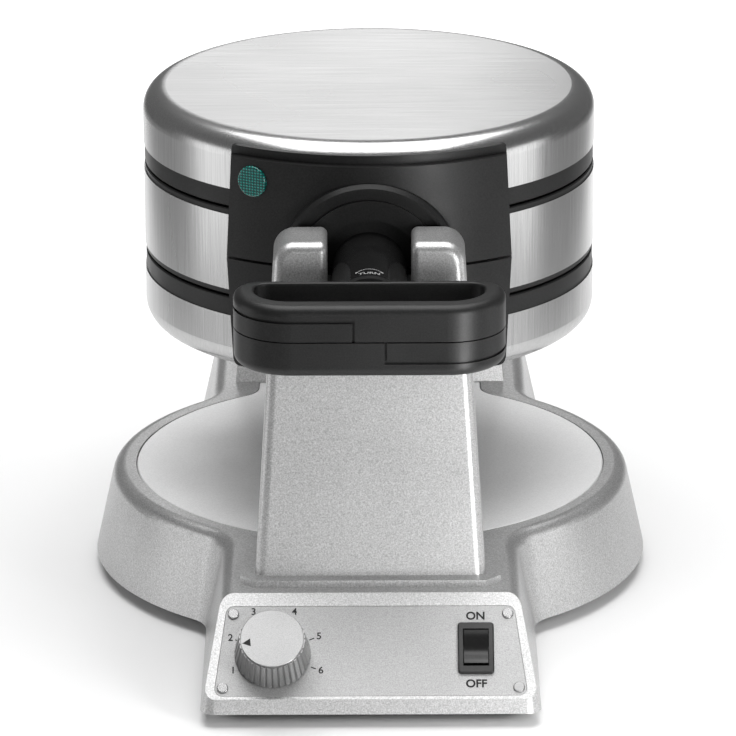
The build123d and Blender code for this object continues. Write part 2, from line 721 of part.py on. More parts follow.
journal_tip = YOKE_BACK_Y - JOURNAL_LENGTH
with BuildPart() as front_journal:
    with BuildSketch(facing_front(-frame_inner)):
        Circle(JOURNAL_RADIUS)
    extrude(amount=-journal_tip - frame_inner)
    chamfer(front_journal.faces().sort_by(Axis.Y)[0].edges(), EDGE)
save(front_journal, "front_journal")

# Rear of the head: hollow axle, hinge block with its pins, and the retaining collar
with BuildPart() as rear_axle:
    with BuildSketch(facing_back(frame_inner)):
        Circle(AXLE_RADIUS)
        Circle(AXLE_BORE, mode=Mode.SUBTRACT)
    extrude(amount=AXLE_END_Y - frame_inner)
save(rear_axle, "rear_axle")

with BuildPart() as axle_collar:
    with BuildSketch(facing_back(COLLAR_Y)):
        Circle(COLLAR_RADIUS)
        Circle(AXLE_RADIUS, mode=Mode.SUBTRACT)
    extrude(amount=COLLAR_WIDTH)
save(axle_collar, "axle_collar")

pin_spots = [(0, HINGE_RISE), (0, -HINGE_RISE)]
with BuildPart() as hinge_block:
    with BuildSketch(hinge_view):
        SlotCenterToCenter(2 * HINGE_RISE, 2 * HINGE_BLOCK_ROUND, rotation=90)
        with Locations(*pin_spots):
            Circle(HINGE_PIN, mode=Mode.SUBTRACT)
    extrude(amount=HINGE_BLOCK_HALF, both=True)
    with BuildSketch(facing_back(0)):
        Circle(AXLE_RADIUS)
    extrude(amount=AXLE_END_Y, mode=Mode.SUBTRACT)
save(hinge_block, "hinge_block")

with BuildPart() as hinge_pins:
    with BuildSketch(hinge_view):
        with Locations(*pin_spots):
            Circle(HINGE_PIN)
    extrude(amount=HINGE_ARM_OUT + PIN_PROUD, both=True)
save(hinge_pins, "hinge_pins")

# Lid parts, each made once for the upper lid and turned over for the lower one
shoulder_mid = (HEAD_RADIUS - HEAD_SHOULDER, HEAD_HALF_HEIGHT - HEAD_SHOULDER)
skin_top = HEAD_HALF_HEIGHT - STEEL
with BuildPart() as shell:
    with BuildSketch(facing_front()):
        with BuildLine():
            Line((0, HEAD_HALF_HEIGHT), (shoulder_mid[0], HEAD_HALF_HEIGHT))
            CenterArc(shoulder_mid, HEAD_SHOULDER, 0, 90)
            Polyline(
                (HEAD_RADIUS, shoulder_mid[1]), (HEAD_RADIUS, LID_STEEL_LOW),
                (HEAD_RADIUS - STEEL, LID_STEEL_LOW), (HEAD_RADIUS - STEEL, shoulder_mid[1]),
            )
            CenterArc(shoulder_mid, HEAD_SHOULDER - STEEL, 0, 90)
            Polyline((shoulder_mid[0], skin_top), (0, skin_top), (0, HEAD_HALF_HEIGHT))
        make_face()
    revolve(axis=Axis.Z)
save_pair(shell, "shell")

with BuildPart() as trim:
    revolve(ring_section(
        (TRIM_INNER, LID_TRIM_LOW), (TRIM_RADIUS - EDGE, LID_TRIM_LOW),
        (TRIM_RADIUS, LID_TRIM_LOW + EDGE), (TRIM_RADIUS, LID_STEEL_LOW),
        (TRIM_INNER, LID_STEEL_LOW),
    ), axis=Axis.Z)
save_pair(trim, "trim")

lid_back = LID_FLOOR + MOULD_SKIN
with BuildPart() as plate:
    revolve(ring_section(
        (0, LID_FLOOR), (rim_radius - MOULD_SLOPE, LID_FLOOR),
        (rim_radius, LID_TRIM_LOW), (MOULD_RADIUS, LID_TRIM_LOW),
        (MOULD_RADIUS, LID_STEEL_LOW), (FLANGE_RADIUS, LID_STEEL_LOW),
        (FLANGE_RADIUS, LID_STEEL_LOW + FLANGE), (MOULD_RADIUS, LID_STEEL_LOW + FLANGE),
        (MOULD_RADIUS - MOULD_SKIN, lid_back), (0, lid_back),
    ), axis=Axis.Z)
    add_studs(Plane(origin=(0, 0, AXIS_Z + LID_FLOOR), z_dir=(0, 0, -1)))
save_pair(plate, "plate")

with BuildPart() as element:
    with BuildSketch(facing_front()):
        with Locations((ELEMENT_LOOP, lid_back + ELEMENT_RADIUS)):
            Circle(ELEMENT_RADIUS)
    revolve(axis=Axis.Z, revolution_arc=ELEMENT_SWEEP)
save_pair(element, "element")

# Front panel: curved moulding with a ringed hub round the neck and a lamp window
lamp_depth = (PANEL_RADIUS ** 2 - LAMP_X ** 2) ** 0.5
lamp_plane = Plane(
    origin=(LAMP_X, -lamp_depth, AXIS_Z + LAMP_RISE),
    x_dir=(lamp_depth, LAMP_X, 0),
    z_dir=(LAMP_X, -lamp_depth, 0),
)
panel_step_z = PANEL_TOP - PANEL_STEP
with BuildPart() as front_panel:
    with BuildSketch(head.offset(HALF_GAP)):
        Circle(PANEL_RADIUS)
    extrude(amount=panel_step_z - HALF_GAP)
    with BuildSketch(head.offset(panel_step_z)):
        Circle(PANEL_INNER + PANEL_STEP_THICK)
    extrude(amount=PANEL_STEP)
    with BuildSketch(facing_front()):
        Circle(HUB_RADIUS)
    extrude(amount=-HUB_FACE_Y)
    chamfer(front_panel.faces().sort_by(Axis.Y)[0].edges(), HUB_FLANK)
    with BuildSketch(head.offset(-HUB_RADIUS)):
        Circle(PANEL_INNER)
    extrude(amount=HUB_RADIUS + LID_STEEL_LOW, mode=Mode.SUBTRACT)
    with BuildSketch(head.offset(LID_STEEL_LOW)):
        Circle(HEAD_RADIUS)
    extrude(amount=PANEL_TOP, mode=Mode.SUBTRACT)
    with BuildSketch(facing_front()) as panel_outline:
        with BuildLine():
            Polyline(
                (-PANEL_HALF_MID, HALF_GAP), (PANEL_HALF_MID, HALF_GAP),
                (PANEL_HALF_TOP, PANEL_TOP), (-PANEL_HALF_TOP, PANEL_TOP), close=True,
            )
        make_face()
        fillet(panel_outline.vertices().group_by(Axis.Y)[-1], PANEL_CORNER)
    extrude(amount=2 * PANEL_RADIUS, mode=Mode.INTERSECT)
    with BuildSketch(facing_front(HUB_FACE_Y)):
        Circle(HUB_GROOVE_OUT)
        Circle(HUB_GROOVE_IN, mode=Mode.SUBTRACT)
    extrude(amount=-HUB_GROOVE_DEPTH, mode=Mode.SUBTRACT)
    with BuildSketch(facing_front(HUB_FACE_Y)):
        Circle(HUB_RECESS)
    extrude(amount=HUB_FACE_Y - RECESS_FACE_Y, mode=Mode.SUBTRACT)
    with BuildSketch(facing_front()):
        Circle(JOURNAL_RADIUS + JOURNAL_ROOM)
    extrude(amount=2 * PANEL_RADIUS, mode=Mode.SUBTRACT)
    with BuildSketch(lamp_plane):
        Circle(LAMP_RADIUS)
    extrude(amount=2 * PANEL_THICK, both=True, mode=Mode.SUBTRACT)
save_pair(front_panel, "front_panel")

with BuildPart() as lamp:
    with BuildSketch(lamp_plane.offset(-PANEL_THICK / 2)):
        Circle(LAMP_RADIUS)
    extrude(amount=PANEL_THICK / 2 + LAMP_DOME)
    fillet(lamp.faces().sort_by(Axis(lamp_plane.origin, lamp_plane.z_dir))[-1].edges(),
           LAMP_DOME - TOUCH_GAP)
save_pair(lamp, "lamp")


# Handle half: half a neck and half a loop, split on the head's middle plane
def loop_outline(back, front, half_width, back_corner, front_corner):
    with BuildSketch(head.offset(TOUCH_GAP)) as loop:
        with Locations((0, (back + front) / 2)):
            Rectangle(2 * half_width, back - front)
        fillet(loop.vertices().group_by(Axis.Y)[-1], back_corner)
        fillet(loop.vertices().group_by(Axis.Y)[0], front_corner)
    return loop.sketch


outer_loop = loop_outline(LOOP_BACK_Y, LOOP_FRONT_Y, LOOP_HALF_WIDTH, LOOP_BACK_CORNER,
                          LOOP_FRONT_CORNER)
finger_gap = loop_outline(
    LOOP_BACK_Y - LOOP_BACK_BAR, LOOP_FRONT_Y + LOOP_FRONT_BAR, LOOP_HALF_WIDTH - LOOP_SIDE_BAR,
    LOOP_BACK_CORNER - LOOP_BACK_BAR, LOOP_FRONT_CORNER - LOOP_FRONT_BAR,
)
with BuildPart() as grip_groove:
    extrude(outer_loop, amount=GRIP_LINE + GRIP_GROOVE)
    extrude(offset(outer_loop, amount=-GRIP_GROOVE, mode=Mode.PRIVATE), amount=LOOP_HALF_HEIGHT,
            mode=Mode.SUBTRACT)
    with BuildSketch(head):
        with Locations((GRIP_END - LOOP_HALF_WIDTH / 2, (LOOP_BACK_Y + LOOP_FRONT_Y) / 2)):
            Rectangle(LOOP_HALF_WIDTH, LOOP_DEPTH - 2 * LOOP_BACK_CORNER)
        with Locations((GRIP_END - LOOP_HALF_WIDTH / 2, LOOP_FRONT_Y)):
            Rectangle(LOOP_HALF_WIDTH, 2 * LOOP_BACK_CORNER)
    extrude(amount=LOOP_HALF_HEIGHT, mode=Mode.INTERSECT)
    with BuildSketch(head):
        with Locations((GRIP_END - GRIP_GROOVE - LOOP_HALF_WIDTH, LOOP_FRONT_Y)):
            Rectangle(2 * LOOP_HALF_WIDTH, 2 * LOOP_DEPTH)
    extrude(amount=GRIP_LINE, mode=Mode.SUBTRACT)

with BuildPart() as handle:
    extrude(outer_loop, amount=LOOP_HALF_HEIGHT - TOUCH_GAP)
    fillet(handle.faces().sort_by(Axis.Z)[-1].edges(), LOOP_ROUND)
    extrude(finger_gap, amount=LOOP_HALF_HEIGHT, mode=Mode.SUBTRACT)
    fillet(handle.faces().sort_by(Axis.Z)[-1].inner_wires()[0].edges(), LOOP_INNER_ROUND)
    with BuildSketch(facing_front(RECESS_FACE_Y)):
        Circle(NECK_RADIUS)
        with Locations((0, TOUCH_GAP - NECK_RADIUS)):
            Rectangle(4 * NECK_RADIUS, 2 * NECK_RADIUS, mode=Mode.SUBTRACT)
    extrude(amount=RECESS_FACE_Y - LOOP_BACK_Y + LOOP_BACK_BAR / 2)
    with BuildSketch(facing_front(RECESS_FACE_Y)):
        Circle(JOURNAL_RADIUS + JOURNAL_ROOM)
    extrude(amount=RECESS_FACE_Y - journal_tip + 2 * EDGE, mode=Mode.SUBTRACT)
    add(grip_groove.part, mode=Mode.SUBTRACT)
save_pair(handle, "handle")

# Hinge arms on the back of each lid, joined by a bridge over the hinge block
arm_root = -HINGE_KNUCKLE - 2 * BEZEL_RIM - HINGE_GAP
with BuildPart() as hinge_arms:
    with BuildSketch(hinge_view):
        with Locations((0, HINGE_RISE)):
            Circle(HINGE_KNUCKLE)
        with BuildLine():
            Polyline(
                (-HINGE_KNUCKLE, HINGE_RISE), (HINGE_KNUCKLE, HINGE_RISE),
                (FLANGE - HINGE_GAP, HINGE_ARM_TOP), (arm_root, HINGE_ARM_TOP),
                (arm_root, LID_STEEL_LOW), (-HINGE_KNUCKLE, LID_STEEL_LOW), close=True,
            )
        make_face()
        with Locations((0, HINGE_RISE)):
            Circle(HINGE_PIN + RUNNING_FIT, mode=Mode.SUBTRACT)
    extrude(amount=HINGE_ARM_OUT, both=True)
    with BuildSketch(hinge_view):
        Rectangle(2 * HEAD_HALF_HEIGHT, 2 * HINGE_BRIDGE_LOW)
    extrude(amount=HINGE_ARM_IN, both=True, mode=Mode.SUBTRACT)
    with BuildSketch(head.offset(LID_STEEL_LOW)):
        Circle(HEAD_RADIUS)
    extrude(amount=HEAD_HALF_HEIGHT, mode=Mode.SUBTRACT)
save_pair(hinge_arms, "hinge_arms")

# Rear column: hollow housing with a front cover and the bush for the axle
rear_top_z = AXIS_Z + REAR_TOP_RISE


def rear_side(shrink, depth=None):
    """Side outline of the rear column: a leaning foot, an upright face and a raked back."""
    top_y = REAR_FACE_Y + (depth or REAR_TOP_DEPTH)
    foot_y = REAR_FOOT_Y + (depth or REAR_FOOT_DEPTH)
    return column_side(
        (REAR_FOOT_Y + shrink, DECK_Z), (foot_y - shrink, DECK_Z),
        (top_y - shrink, rear_top_z - shrink), (REAR_FACE_Y + shrink, rear_top_z - shrink),
        (REAR_FACE_Y + shrink, REAR_KNEE_Z),
    )


with BuildPart() as rear_hollow:
    extrude(column_front(REAR_FOOT_HALF - REAR_WALL, REAR_TOP_HALF - REAR_WALL, DECK_Z,
                         rear_top_z - REAR_WALL, REAR_ROUND - REAR_WALL), amount=-2 * REAR_BACK_Y)
    extrude(rear_side(REAR_WALL), amount=2 * BASE_RADIUS, mode=Mode.INTERSECT)

with BuildPart() as rear_housing:
    extrude(column_front(REAR_FOOT_HALF, REAR_TOP_HALF, DECK_Z, rear_top_z, REAR_ROUND),
            amount=-2 * REAR_BACK_Y)
    extrude(rear_side(0), amount=2 * BASE_RADIUS, mode=Mode.INTERSECT)
    back_edges = rear_housing.faces().sort_by(Axis.Y)[-1].edges()
    fillet(back_edges.filter_by(lambda e: e.center().Z > DECK_Z + EDGE), YOKE_ROUND)
    add(rear_hollow.part, mode=Mode.SUBTRACT)
    with BuildSketch(facing_back(0)):
        Circle(BUSH_OUTER)
    extrude(amount=REAR_FACE_Y + 2 * REAR_WALL, mode=Mode.SUBTRACT)
save(rear_housing, "rear_housing")

with BuildPart() as rear_bush:
    with BuildSketch(facing_back(REAR_FACE_Y - 2 * EDGE)):
        Circle(BUSH_OUTER)
        Circle(AXLE_RADIUS + RUNNING_FIT, mode=Mode.SUBTRACT)
    extrude(amount=BUSH_LENGTH + EDGE - TOUCH_GAP)
save(rear_bush, "rear_bush")
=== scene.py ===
import json
import math

import bmesh
import bpy
from mathutils import Matrix, Vector


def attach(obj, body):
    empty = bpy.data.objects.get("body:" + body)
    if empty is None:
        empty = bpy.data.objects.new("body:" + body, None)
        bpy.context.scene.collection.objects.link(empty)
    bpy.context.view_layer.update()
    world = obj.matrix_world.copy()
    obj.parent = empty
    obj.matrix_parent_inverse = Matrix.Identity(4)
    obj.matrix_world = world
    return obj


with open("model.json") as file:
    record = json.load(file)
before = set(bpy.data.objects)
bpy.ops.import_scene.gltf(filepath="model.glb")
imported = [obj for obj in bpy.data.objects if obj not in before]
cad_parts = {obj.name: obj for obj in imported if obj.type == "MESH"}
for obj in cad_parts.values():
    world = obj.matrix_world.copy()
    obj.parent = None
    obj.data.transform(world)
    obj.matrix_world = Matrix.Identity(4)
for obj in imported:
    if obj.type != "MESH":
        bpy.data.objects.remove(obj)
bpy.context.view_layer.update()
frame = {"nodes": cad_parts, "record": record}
nodes = frame["nodes"]

# Sizes in metres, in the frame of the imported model
MM = 0.001
AXIS_Z = 0.1665
FACE_MIDDLE = Vector((0.0, -0.185, 0.027))
FACE_TILT = math.atan2(32, 36)
FACE_Y = Vector((0.0, math.cos(FACE_TILT), math.sin(FACE_TILT)))
FACE_OUT = Vector((0.0, -math.sin(FACE_TILT), math.cos(FACE_TILT)))
KNOB_SPOT = (-40.6 * MM, -1.5 * MM)
KNOB_TOP = 15.0 * MM
SWITCH_MIDDLE = 43.6 * MM
NECK_RADIUS = 16.0 * MM
NECK_BEGINS = -161.5 * MM
NECK_POLISHED = -160.0 * MM

# Printing
INK_LIFT = 0.06 * MM
NUMBER_SIZE = 4.4 * MM
WORD_SIZE = 5.0 * MM
TURN_SIZE = 3.4 * MM
THIN_STROKE = 0.06 * MM
BOLD_STROKE = 0.14 * MM
TICKED_NUMBERS = "1256"
TICK_FROM_NUMBER = 3.3 * MM
TICK_HALF_LENGTH = 1.1 * MM
TICK_HALF_WIDTH = 0.22 * MM
POINTER_OUT = 10.2 * MM
POINTER_DOWN = 1.8 * MM
MARK_Y = -157.6 * MM
ARROW_RADIUS = 7.0 * MM
ARROW_MIDDLE = -1.6 * MM
ARROW_HALF_WIDTH = 0.16 * MM
ARROW_HEAD_HALF_WIDTH = 0.75 * MM
ARROW_HEAD_SWING = 0.22
ARROW_SWING = math.radians(46)
ARROW_STEPS = 14

# Brushed lines, in lines to the metre across and along the brush strokes
DRUM_FINE, DRUM_SLOW = 2100.0, 26.0
TOP_FINE, TOP_SLOW = 2300.0, 24.0

# Picture and floor
PICTURE_WIDTH = 736
FOCAL_PIXELS = 5426.957
SENSOR_WIDTH = 36.0
CAMERA_PLACE = (0.0, -2.274301, 0.862916)
CAMERA_PITCH, CAMERA_ROLL, CAMERA_YAW = 0.328515, -0.0036575, 0.00032479
FLOOR_HALF = 3.0
FLOOR_DARK, FLOOR_PALE = 0.34, 0.90


# Node helpers
def new_material(name):
    material = bpy.data.materials.new(name)
    material.use_nodes = True
    tree = material.node_tree
    shader = tree.nodes["Principled BSDF"]
    return material, tree, shader


def node(tree, kind, **values):
    made = tree.nodes.new(kind)
    for key, value in values.items():
        setattr(made, key, value)
    return made


def set_inputs(made, **values):
    for key, value in values.items():
        made.inputs[key.replace("_", " ")].default_value = value
    return made


def grey(level):
    return (level, level, level, 1.0)


def group_tree(name, inputs, outputs):
    tree = bpy.data.node_groups.new(name, "ShaderNodeTree")
    for label, kind, value in inputs:
        socket = tree.interface.new_socket(label, in_out="INPUT", socket_type=kind)
        socket.default_value = value
    for label, kind in outputs:
        tree.interface.new_socket(label, in_out="OUTPUT", socket_type=kind)
    return tree, tree.nodes.new("NodeGroupInput"), tree.nodes.new("NodeGroupOutput")


def make_speckle_group():
    """Fine grain of sprayed paint or moulded plastic: a value round 0.5 and a bumped normal."""
    tree, given, result = group_tree(
        "surface_grain",
        [("Scale", "NodeSocketFloat", 1500.0), ("Depth", "NodeSocketFloat", 0.00002),
         ("Strength", "NodeSocketFloat", 0.3)],
        [("Grain", "NodeSocketFloat"), ("Cloud", "NodeSocketFloat"), ("Normal", "NodeSocketVector")],
    )
    place = node(tree, "ShaderNodeTexCoord")
    grain = set_inputs(node(tree, "ShaderNodeTexNoise"), Detail=3.0, Roughness=0.6)
    cloud = set_inputs(node(tree, "ShaderNodeTexNoise"), Scale=28.0, Detail=3.0, Roughness=0.5)
    bump = node(tree, "ShaderNodeBump")
    link = tree.links.new
    link(place.outputs["Object"], grain.inputs["Vector"])
    link(place.outputs["Object"], cloud.inputs["Vector"])
    link(given.outputs["Scale"], grain.inputs["Scale"])
    link(given.outputs["Depth"], bump.inputs["Distance"])
    link(given.outputs["Strength"], bump.inputs["Strength"])
    link(grain.outputs["Fac"], bump.inputs["Height"])
    link(grain.outputs["Fac"], result.inputs["Grain"])
    link(cloud.outputs["Fac"], result.inputs["Cloud"])
    link(bump.outputs["Normal"], result.inputs["Normal"])
    return tree


def scaled(tree, source, factors):
    """Coordinates stretched by a different factor along each axis."""
    made = node(tree, "ShaderNodeVectorMath", operation="MULTIPLY")
    made.inputs[1].default_value = factors
    tree.links.new(source, made.inputs[0])
    return made.outputs["Vector"]


def make_brush_group():
    """Brushed lines: upright on the sides of a drum, and left to right on its flat faces."""
    tree, given, result = group_tree(
        "brushed_lines",
        [("Depth", "NodeSocketFloat", 0.00001), ("Strength", "NodeSocketFloat", 0.35)],
        [("Lines", "NodeSocketFloat"), ("Cloud", "NodeSocketFloat"), ("Normal", "NodeSocketVector")],
    )
    place = node(tree, "ShaderNodeTexCoord")
    facing = node(tree, "ShaderNodeSeparateXYZ")
    upright = node(tree, "ShaderNodeMath", operation="ABSOLUTE")
    flat = set_inputs(node(tree, "ShaderNodeMapRange"), From_Min=0.85, From_Max=0.97)
    chosen = node(tree, "ShaderNodeMix", data_type="VECTOR")
    lines = set_inputs(node(tree, "ShaderNodeTexNoise"), Scale=1.0, Detail=4.0, Roughness=0.65)
    cloud = set_inputs(node(tree, "ShaderNodeTexNoise"), Scale=9.0, Detail=2.0)
    bump = node(tree, "ShaderNodeBump")
    link = tree.links.new
    link(place.outputs["Normal"], facing.inputs[0])
    link(facing.outputs["Z"], upright.inputs[0])
    link(upright.outputs[0], flat.inputs["Value"])
    link(flat.outputs["Result"], chosen.inputs["Factor"])
    on_drum = scaled(tree, place.outputs["Object"], (DRUM_FINE, DRUM_FINE, DRUM_SLOW))
    on_top = scaled(tree, place.outputs["Object"], (TOP_SLOW, TOP_FINE, TOP_FINE))
    link(on_drum, chosen.inputs["A"])
    link(on_top, chosen.inputs["B"])
    link(chosen.outputs["Result"], lines.inputs["Vector"])
    link(place.outputs["Object"], cloud.inputs["Vector"])
    link(given.outputs["Depth"], bump.inputs["Distance"])
    link(given.outputs["Strength"], bump.inputs["Strength"])
    link(lines.outputs["Fac"], bump.inputs["Height"])
    link(lines.outputs["Fac"], result.inputs["Lines"])
    link(cloud.outputs["Fac"], result.inputs["Cloud"])
    link(bump.outputs["Normal"], result.inputs["Normal"])
    return tree


SPECKLE = make_speckle_group()
BRUSH = make_brush_group()


def ramp_between(tree, source, low, high, low_at=0.3, high_at=0.7):
    """Colour that follows a value between two stops."""
    ramp = node(tree, "ShaderNodeValToRGB")
    ramp.color_ramp.elements[0].position = low_at
    ramp.color_ramp.elements[0].color = low
    ramp.color_ramp.elements[1].position = high_at
    ramp.color_ramp.elements[1].color = high
    tree.links.new(source, ramp.inputs["Fac"])
    return ramp.outputs["Color"]


def range_between(tree, source, low, high, low_at=0.3, high_at=0.7):
    """Number that follows a value between two ends."""
    spread = set_inputs(
        node(tree, "ShaderNodeMapRange"), From_Min=low_at, From_Max=high_at, To_Min=low, To_Max=high
    )
    tree.links.new(source, spread.inputs["Value"])
    return spread.outputs["Result"]


def grained(name, colours, roughness, metallic=0.0, scale=1500.0, depth=0.00002, strength=0.3,
            specular=0.5):
    """Painted or moulded surface with a fine grain, its roughness varying softly."""
    material, tree, shader = new_material(name)
    effect = node(tree, "ShaderNodeGroup")
    effect.node_tree = SPECKLE
    set_inputs(effect, Scale=scale, Depth=depth, Strength=strength)
    tree.links.new(ramp_between(tree, effect.outputs["Grain"], *colours), shader.inputs["Base Color"])
    tree.links.new(range_between(tree, effect.outputs["Cloud"], *roughness),
                   shader.inputs["Roughness"])
    tree.links.new(effect.outputs["Normal"], shader.inputs["Normal"])
    set_inputs(shader, Metallic=metallic, Specular_IOR_Level=specular)
    return material


def brushed(name, colours, roughness, depth=0.00001, strength=0.35):
    """Bare metal with brushed lines."""
    material, tree, shader = new_material(name)
    effect = node(tree, "ShaderNodeGroup")
    effect.node_tree = BRUSH
    set_inputs(effect, Depth=depth, Strength=strength)
    tree.links.new(ramp_between(tree, effect.outputs["Lines"], *colours), shader.inputs["Base Color"])
    tree.links.new(range_between(tree, effect.outputs["Cloud"], *roughness),
                   shader.inputs["Roughness"])
    tree.links.new(effect.outputs["Normal"], shader.inputs["Normal"])
    set_inputs(shader, Metallic=1.0)
    return material


def make_materials():
    return {
        "silver_paint": grained(
            "silver_paint", (grey(0.34), grey(0.66)), (0.34, 0.42), metallic=0.75,
            scale=1700.0, depth=0.00003, strength=0.3,
        ),
        "tray_paint": grained(
            "tray_paint", (grey(0.84), grey(0.98)), (0.36, 0.46), metallic=0.15,
            scale=1700.0, depth=0.00003, strength=0.3,
        ),
        "steel": brushed("steel", (grey(0.44), grey(0.60)), (0.22, 0.30)),
        "fascia": grained(
            "fascia", (grey(0.30), grey(0.48)), (0.42, 0.52), metallic=0.6,
            scale=2200.0, depth=0.00003, strength=0.3,
        ),
        "mould": grained(
            "mould", (grey(0.030), grey(0.055)), (0.32, 0.42), scale=900.0, depth=0.00002,
            strength=0.3,
        ),
        "black_plastic": grained(
            "black_plastic", (grey(0.006), grey(0.016)), (0.36, 0.50), scale=1500.0,
            depth=0.00004, strength=0.4, specular=0.34,
        ),
        "black_gloss": grained(
            "black_gloss", (grey(0.005), grey(0.009)), (0.18, 0.26), scale=1200.0,
            depth=0.00001, strength=0.12, specular=0.4,
        ),
        "handle_black": make_handle_black(),
        "rubber": grained(
            "rubber", (grey(0.006), grey(0.014)), (0.65, 0.80), scale=1600.0, depth=0.00004,
            specular=0.2,
        ),
        "cast": grained(
            "cast", (grey(0.42), grey(0.52)), (0.42, 0.55), metallic=0.9, scale=700.0,
            depth=0.00005, strength=0.4,
        ),
        "pin_steel": brushed("pin_steel", (grey(0.45), grey(0.58)), (0.22, 0.30), strength=0.2),
        "knob_silver": grained(
            "knob_silver", (grey(0.27), grey(0.36)), (0.24, 0.32), metallic=0.8, scale=2600.0,
            depth=0.00001, strength=0.12,
        ),
        "green_lens": make_lens(),
        "ink": grained("ink", (grey(0.005), grey(0.010)), (0.45, 0.6), scale=900.0, specular=0.3),
        "pale_ink": grained("pale_ink", (grey(0.30), grey(0.42)), (0.5, 0.6), scale=900.0),
    }


def make_handle_black():
    """Grained grip that turns into a polished neck where it runs in its cradle."""
    material = grained(
        "handle_black", (grey(0.006), grey(0.016)), (0.36, 0.50), scale=1500.0, depth=0.00004,
        strength=0.4, specular=0.36,
    )
    tree = material.node_tree
    shader = tree.nodes["Principled BSDF"]
    place = node(tree, "ShaderNodeTexCoord")
    split = node(tree, "ShaderNodeSeparateXYZ")
    blend = node(tree, "ShaderNodeMix")
    tree.links.new(place.outputs["Object"], split.inputs[0])
    polish = range_between(tree, split.outputs["Y"], 0.0, 1.0, NECK_BEGINS, NECK_POLISHED)
    tree.links.new(polish, blend.inputs["Factor"])
    tree.links.new(shader.inputs["Roughness"].links[0].from_socket, blend.inputs["A"])
    blend.inputs["B"].default_value = 0.10
    tree.links.new(blend.outputs["Result"], shader.inputs["Roughness"])
    return material


def make_lens():
    """Clear green lens with a fine square prism pattern inside."""
    material, tree, shader = new_material("green_lens")
    place = node(tree, "ShaderNodeTexCoord")
    waves = [
        set_inputs(node(tree, "ShaderNodeTexWave", bands_direction=way), Scale=260.0)
        for way in ("X", "Z")
    ]
    both = node(tree, "ShaderNodeMath", operation="MULTIPLY")
    bump = set_inputs(node(tree, "ShaderNodeBump"), Strength=0.5, Distance=0.0002)
    for wave, slot in zip(waves, both.inputs):
        tree.links.new(place.outputs["Object"], wave.inputs["Vector"])
        tree.links.new(wave.outputs["Fac"], slot)
    colour = ramp_between(
        tree, both.outputs[0], (0.0, 0.05, 0.045, 1.0), (0.0, 0.30, 0.25, 1.0), 0.0, 0.9
    )
    tree.links.new(colour, shader.inputs["Base Color"])
    tree.links.new(both.outputs[0], bump.inputs["Height"])
    tree.links.new(bump.outputs["Normal"], shader.inputs["Normal"])
    set_inputs(shader, Roughness=0.16, Coat_Weight=0.6, Coat_Roughness=0.06)
    return material


MATERIALS = make_materials()
SLOT_OF = {entry["node"]: entry["material_slot"] for entry in frame["record"]["subparts"]}
OWN_MATERIAL = {
    "control_panel": "fascia", "knob_cap": "knob_silver", "upper_handle": "handle_black",
    "lower_handle": "handle_black", "drip_tray": "tray_paint", "panel_screws": "knob_silver",
}


def dress(thing, material):
    thing.data.materials.clear()
    thing.data.materials.append(material)


for name, thing in nodes.items():
    dress(thing, MATERIALS[OWN_MATERIAL.get(name, SLOT_OF[name])])


# Printed marks on the control face
def on_face(u, v, height=0.0):
    return FACE_MIDDLE + Vector((u, 0.0, 0.0)) + FACE_Y * v + FACE_OUT * height


def face_matrix(u, v, height):
    turn = Matrix((Vector((1.0, 0.0, 0.0)), FACE_Y, FACE_OUT)).transposed()
    return Matrix.Translation(on_face(u, v, height)) @ turn.to_4x4()


def place_piece(name, mesh, material, body):
    piece = bpy.data.objects.new(name, mesh)
    bpy.context.scene.collection.objects.link(piece)
    dress(piece, MATERIALS[material])
    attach(piece, body)
    return piece


def lettering(name, words, size, matrix, material="ink", body="base",
              weight=0.0):
    """Printed characters as a thin solid, from the plain built-in face."""
    curve = bpy.data.curves.new(name, "FONT")
    curve.body = words
    curve.size = size
    curve.align_x = "CENTER"
    curve.align_y = "CENTER"
    curve.extrude = INK_LIFT / 2
    curve.offset = weight
    curve.resolution_u = 6
    holder = bpy.data.objects.new(name + "_text", curve)
    bpy.context.scene.collection.objects.link(holder)
    bpy.context.view_layer.update()
    mesh = bpy.data.meshes.new_from_object(holder)
    bpy.data.objects.remove(holder)
    mesh.transform(matrix)
    return place_piece(name, mesh, material, body)


def flat_shape(name, corners, matrix, material="ink", body="base"):
    """A thin printed patch with the given outline."""
    bm = bmesh.new()
    low = [bm.verts.new((x, y, -INK_LIFT / 2)) for x, y in corners]
    face = bm.faces.new(low)
    raised = bmesh.ops.extrude_face_region(bm, geom=[face])
    tops = [part for part in raised["geom"] if isinstance(part, bmesh.types.BMVert)]
    bmesh.ops.translate(bm, verts=tops, vec=(0, 0, INK_LIFT))
    bmesh.ops.recalc_face_normals(bm, faces=bm.faces)
    mesh = bpy.data.meshes.new(name)
    bm.to_mesh(mesh)
    bm.free()
    mesh.transform(matrix)
    return place_piece(name, mesh, material, body)


# Places of the numbers on the fascia, in millimetres
NUMBER_SPOTS = {
    "1": (-56.9, -8.9), "2": (-58.1, 6.2), "3": (-48.6, 18.2),
    "4": (-31.6, 18.2), "5": (-21.4, 6.8), "6": (-20.6, -9.0),
}


def add_tick(digit, u, v):
    """Short line that points from a number to the middle of the knob."""
    toward = Vector((KNOB_SPOT[0] - u, KNOB_SPOT[1] - v)).normalized()
    middle = Vector((u, v)) + toward * TICK_FROM_NUMBER
    turn = Matrix.Rotation(math.atan2(toward.y, toward.x), 4, "Z")
    corners = [(-TICK_HALF_LENGTH, -TICK_HALF_WIDTH), (TICK_HALF_LENGTH, -TICK_HALF_WIDTH),
               (TICK_HALF_LENGTH, TICK_HALF_WIDTH), (-TICK_HALF_LENGTH, TICK_HALF_WIDTH)]
    flat_shape(f"tick_{digit}", corners, face_matrix(middle.x, middle.y, INK_LIFT) @ turn)


